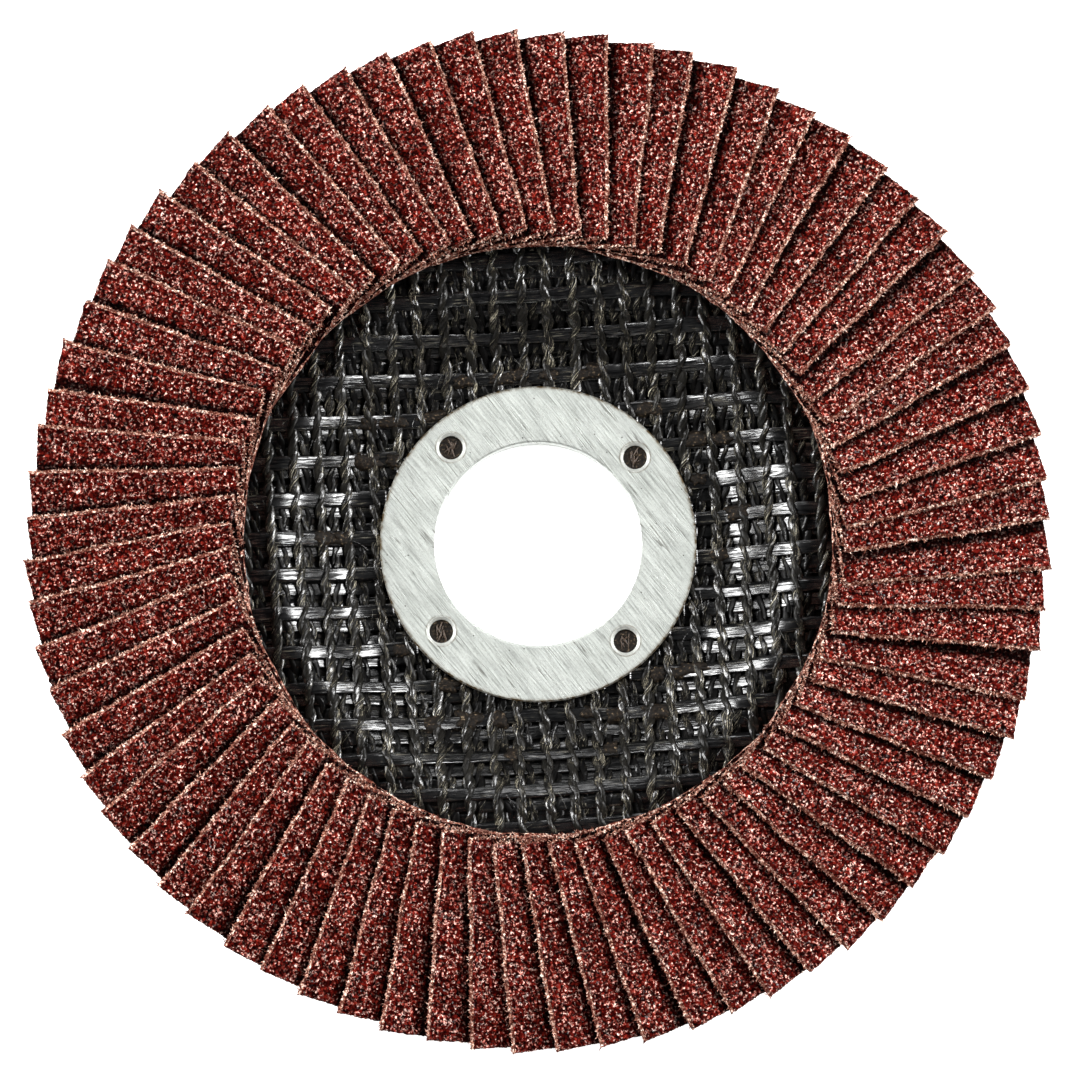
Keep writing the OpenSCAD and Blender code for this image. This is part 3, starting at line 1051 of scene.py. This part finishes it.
def hole_plugs(name, nodes, seed):
    """Resin with broken glass threads, standing in the ring's pierced holes."""
    rng = np.random.default_rng(seed)
    rings, around = 9, 36
    threads_per_hole = 9
    a = circle(around)
    share = np.linspace(0, 1, rings)[:, None]
    base = front_profile[1][0]
    plugs, threads = Parts(), Parts()
    for hole in ring_holes:
        r = 0.97 * hole_r * share
        x, y = hole[0] + r * np.cos(a), hole[1] + r * np.sin(a)
        z = base + (0.20 + 0.12 * share**4 + 0.05 * rng.uniform(-1, 1, (rings, around)) * (share > 0)) * MM
        z = np.broadcast_to(z, x.shape)
        top = np.stack([x, y, z], -1).reshape(-1, 3)
        under = top.copy()
        under[:, 2] = base - 0.1 * MM
        plugs.add(*lump(top, under, rings, around))
        for _ in range(threads_per_hole):
            heading = rng.normal(math.pi / 2, 0.45)
            t = np.linspace(-0.5, 0.5, 7)[:, None]
            seat = hole + rng.uniform(-0.4, 0.4, 2) * hole_r
            middle = np.array([*seat, base + rng.uniform(0.20, 0.42) * MM])
            way = np.array([math.cos(heading), math.sin(heading), rng.uniform(-0.15, 0.15)])
            bow = np.array([rng.uniform(-0.3, 0.3), 0, -0.5])
            size = rng.uniform(0.5, 1.2) * hole_r
            thin = rng.uniform(0.04, 0.10) * MM * np.array([0.5, 0.8, 1, 1, 1, 0.8, 0.5])
            path = middle + size * (way * t + bow * t * t)
            threads.add(*tube(path, np.array([0.1, 0.2, 1.0]), thin, thin, 6))
    place(plugs.piece(name, dull_resin), "glass_resin", *nodes)
    place(threads.piece(name + "_threads", brown_glass), "glass_resin", *nodes)


def resin_sheet(name, surface, facing, drop, depth, seed, nodes, fine_radii, inner_r, step=0.3 * MM):
    """The resin body of the plate's outer plies, sunk by drop between two radii to make room for the mesh."""
    rng = np.random.default_rng(seed)
    fine_in, fine_out = fine_radii
    around, hidden_rings, wave_count = 720, 24, 26
    radii = np.concatenate([
        np.linspace(inner_r, fine_in, 8)[:-1],
        np.arange(fine_in, fine_out, step),
        np.linspace(fine_out, plate_r, max(int((plate_r - fine_out) / MM), 3)),
    ])
    angle = circle(around)
    r, a = np.meshgrid(radii, angle, indexing="ij")
    waves = np.zeros(r.shape)
    for _ in range(wave_count):
        kx, ky = rng.normal(0, 1.6 / MM, 2)
        waves += np.sin(kx * r * np.cos(a) + ky * r * np.sin(a) + rng.uniform(0, 6.3))
    lumps = 0.035 * MM * waves / 3
    inside = np.clip((r - fine_in) / (0.3 * MM), 0, 1) * np.clip((fine_out - r) / MM, 0, 1)
    outer = surface(r) + facing * (lumps - drop) * inside
    rings = len(radii)
    # the hidden side is smooth, so it needs few rings
    hidden = radii[np.linspace(0, rings - 1, hidden_rings).astype(int)]
    behind, a_behind = np.meshgrid(hidden, angle, indexing="ij")
    inner = surface(behind) - facing * depth
    front = np.stack([r * np.cos(a), r * np.sin(a), outer], -1).reshape(-1, 3)
    back = np.stack([behind * np.cos(a_behind), behind * np.sin(a_behind), inner], -1).reshape(-1, 3)
    total = rings * around
    ring = np.arange(around)
    after = np.roll(ring, -1)
    last = total - around
    end = total + (len(hidden) - 1) * around
    inner_wall = np.stack([ring, after, total + after, total + ring], 1)
    outer_wall = np.stack([last + ring, end + ring, end + after, last + after], 1)
    quads = grid_quads(rings, around, closed=True)
    hidden_quads = grid_quads(len(hidden), around, closed=True)[:, ::-1] + total
    faces = [quads, hidden_quads, inner_wall, outer_wall]
    if facing < 0:
        faces = [f[:, ::-1] for f in faces]
    piece = add_mesh(name, np.concatenate([front, back]), faces, [resin])
    place(piece, "glass_resin", *nodes)


ply_t = (front_z(plate_r) - back_z(plate_r)) / len(PLY_NODES)
# radii between which the front mesh lies
window = (ring_r - 0.05 * MM, 34.5 * MM)
front_nodes = ["glass_ply_front", "glass_ply_inner_front"]

# where a warp and a weft of the front mesh cross
mesh_shift = (-0.5 * MM, 1.94 * MM)

resin_sheet("front_resin", front_z, 1, 0.95 * MM, 2 * ply_t, SEED + 1001, front_nodes,
            (ring_r - 0.3 * MM, window[1] + MM), bore_r + 0.75 * MM)
weave("front_mesh", front_z, 1, window, -0.15 * MM, TURN, mesh_shift, SEED + 1002, front_nodes[:1],
      (weft_yarn, warp_yarn))
weave("lower_mesh", front_z, 1, window, -0.52 * MM, TURN - 0.008, (0.75 * MM, 0.55 * MM), SEED + 1003,
      front_nodes[1:], (shaded_sunk_weft, shaded_sunk_warp), sides=8, squash=0.5)
weave("deep_mesh", front_z, 1, window, -0.72 * MM, TURN + 0.02, (0.2 * MM, -0.85 * MM), SEED + 1004,
      front_nodes[1:], (shaded_sunk_weft,))
loose_hairs("loose_glass", front_z, 0.02 * MM, window, 90, SEED + 1005, front_nodes[:1])
resin_patches("resin_lumps", front_z, (ring_r + 0.6 * MM, ring_r + 9 * MM), TURN, mesh_shift, SEED + 1006,
              front_nodes[:1])
hole_plugs("hole_plugs", front_nodes[:1], SEED + 1007)

resin_sheet("back_resin", back_z, -1, 0.42 * MM, ply_t, SEED + 1101, ["glass_ply_back"],
            (bore_r + 1.5 * MM, plate_r - 0.3 * MM), bore_r + 1.3 * MM, step=0.42 * MM)
weave("back_mesh", back_z, -1, (bore_r + 1.7 * MM, plate_r - 0.4 * MM), -0.35 * MM, TURN,
      (0.4 * MM, -0.6 * MM), SEED + 1102, ["glass_ply_back"], (weft_yarn, warp_yarn), sides=6,
      step=0.35 * MM, squash=0.6)

# ---- kept CAD nodes

for node, material in (
    ("hub_ring", ring_material()),
    ("glass_ply_inner_back", resin),
    ("adhesive_bed", epoxy_material()),
    ("back_label", paper_material()),
):
    for entry in frame["nodes"][node].material_slots:
        entry.material = material

# ---- stage, light and camera

FLOOR_GAP = 0.05 * MM
bpy.ops.mesh.primitive_plane_add(size=3.0, location=(0, 0, cad_box[0][2] - FLOOR_GAP))
floor = bpy.context.object
floor.name = "floor"
floor.data.materials.append(floor_material())


def soft_light(name, direction, distance, width, height, power):
    """A soft box that faces the disc from a direction."""
    light = bpy.data.lights.new(name, "AREA")
    light.shape = "RECTANGLE"
    light.size = width
    light.size_y = height
    light.energy = power
    lamp = bpy.data.objects.new(name, light)
    bpy.context.scene.collection.objects.link(lamp)
    lamp.location = Vector(direction).normalized() * distance
    lamp.rotation_euler = (-Vector(direction)).to_track_quat("-Z", "Y").to_euler()


soft_light("left_box", (-1, 0.25, 0.80), 0.9, 0.75, 0.45, 16.5)
soft_light("right_box", (1, 0.25, 0.80), 0.9, 0.75, 0.45, 16.5)
soft_light("far_box", (0.0, 1, 0.80), 0.9, 0.55, 0.30, 1.5)

# brightness of the studio at each height, from the horizon at 0 to overhead at 1
STUDIO_BANDS = ((0.0, 0.7), (0.15, 0.6), (0.34, 0.04), (0.86, 0.018), (0.95, 0.024), (1.0, 0.024))


def studio_world():
    """A studio that is bright near the horizon and dark overhead."""
    world = bpy.data.worlds.new("studio")
    world.use_nodes = True
    sky = world.node_tree
    height = sky.nodes.new("ShaderNodeSeparateXYZ")
    sky.links.new(sky.nodes.new("ShaderNodeTexCoord").outputs["Generated"], height.inputs[0])
    bands = sky.nodes.new("ShaderNodeValToRGB")
    sky.links.new(height.outputs["Z"], bands.inputs[0])
    elements = bands.color_ramp.elements
    for position, _ in STUDIO_BANDS[1:-1]:
        elements.new(position)
    for element, (_, level) in zip(elements, STUDIO_BANDS):
        element.color = (level, level, level, 1)
    sky.links.new(bands.outputs[0], sky.nodes["Background"].inputs["Color"])
    return world


bpy.context.scene.world = studio_world()
bpy.context.scene.view_settings.view_transform = "Standard"

ELEVATION = math.radians(85.7)
DISTANCE = 2.4
FRAME_W = 0.1178
AIM = Vector((0.0002, 0.0001, 0.008))
camera_data = bpy.data.cameras.new("camera")
camera_data.sensor_width = 36
camera_data.lens = camera_data.sensor_width * DISTANCE / FRAME_W
camera_data.clip_start = 0.05
camera_data.clip_end = 20
camera = bpy.data.objects.new("camera", camera_data)
bpy.context.scene.collection.objects.link(camera)
toward = Vector((0, -math.cos(ELEVATION), math.sin(ELEVATION)))
camera.location = AIM + toward * DISTANCE
camera.rotation_euler = (-toward).to_track_quat("-Z", "Y").to_euler()
bpy.context.scene.camera = camera
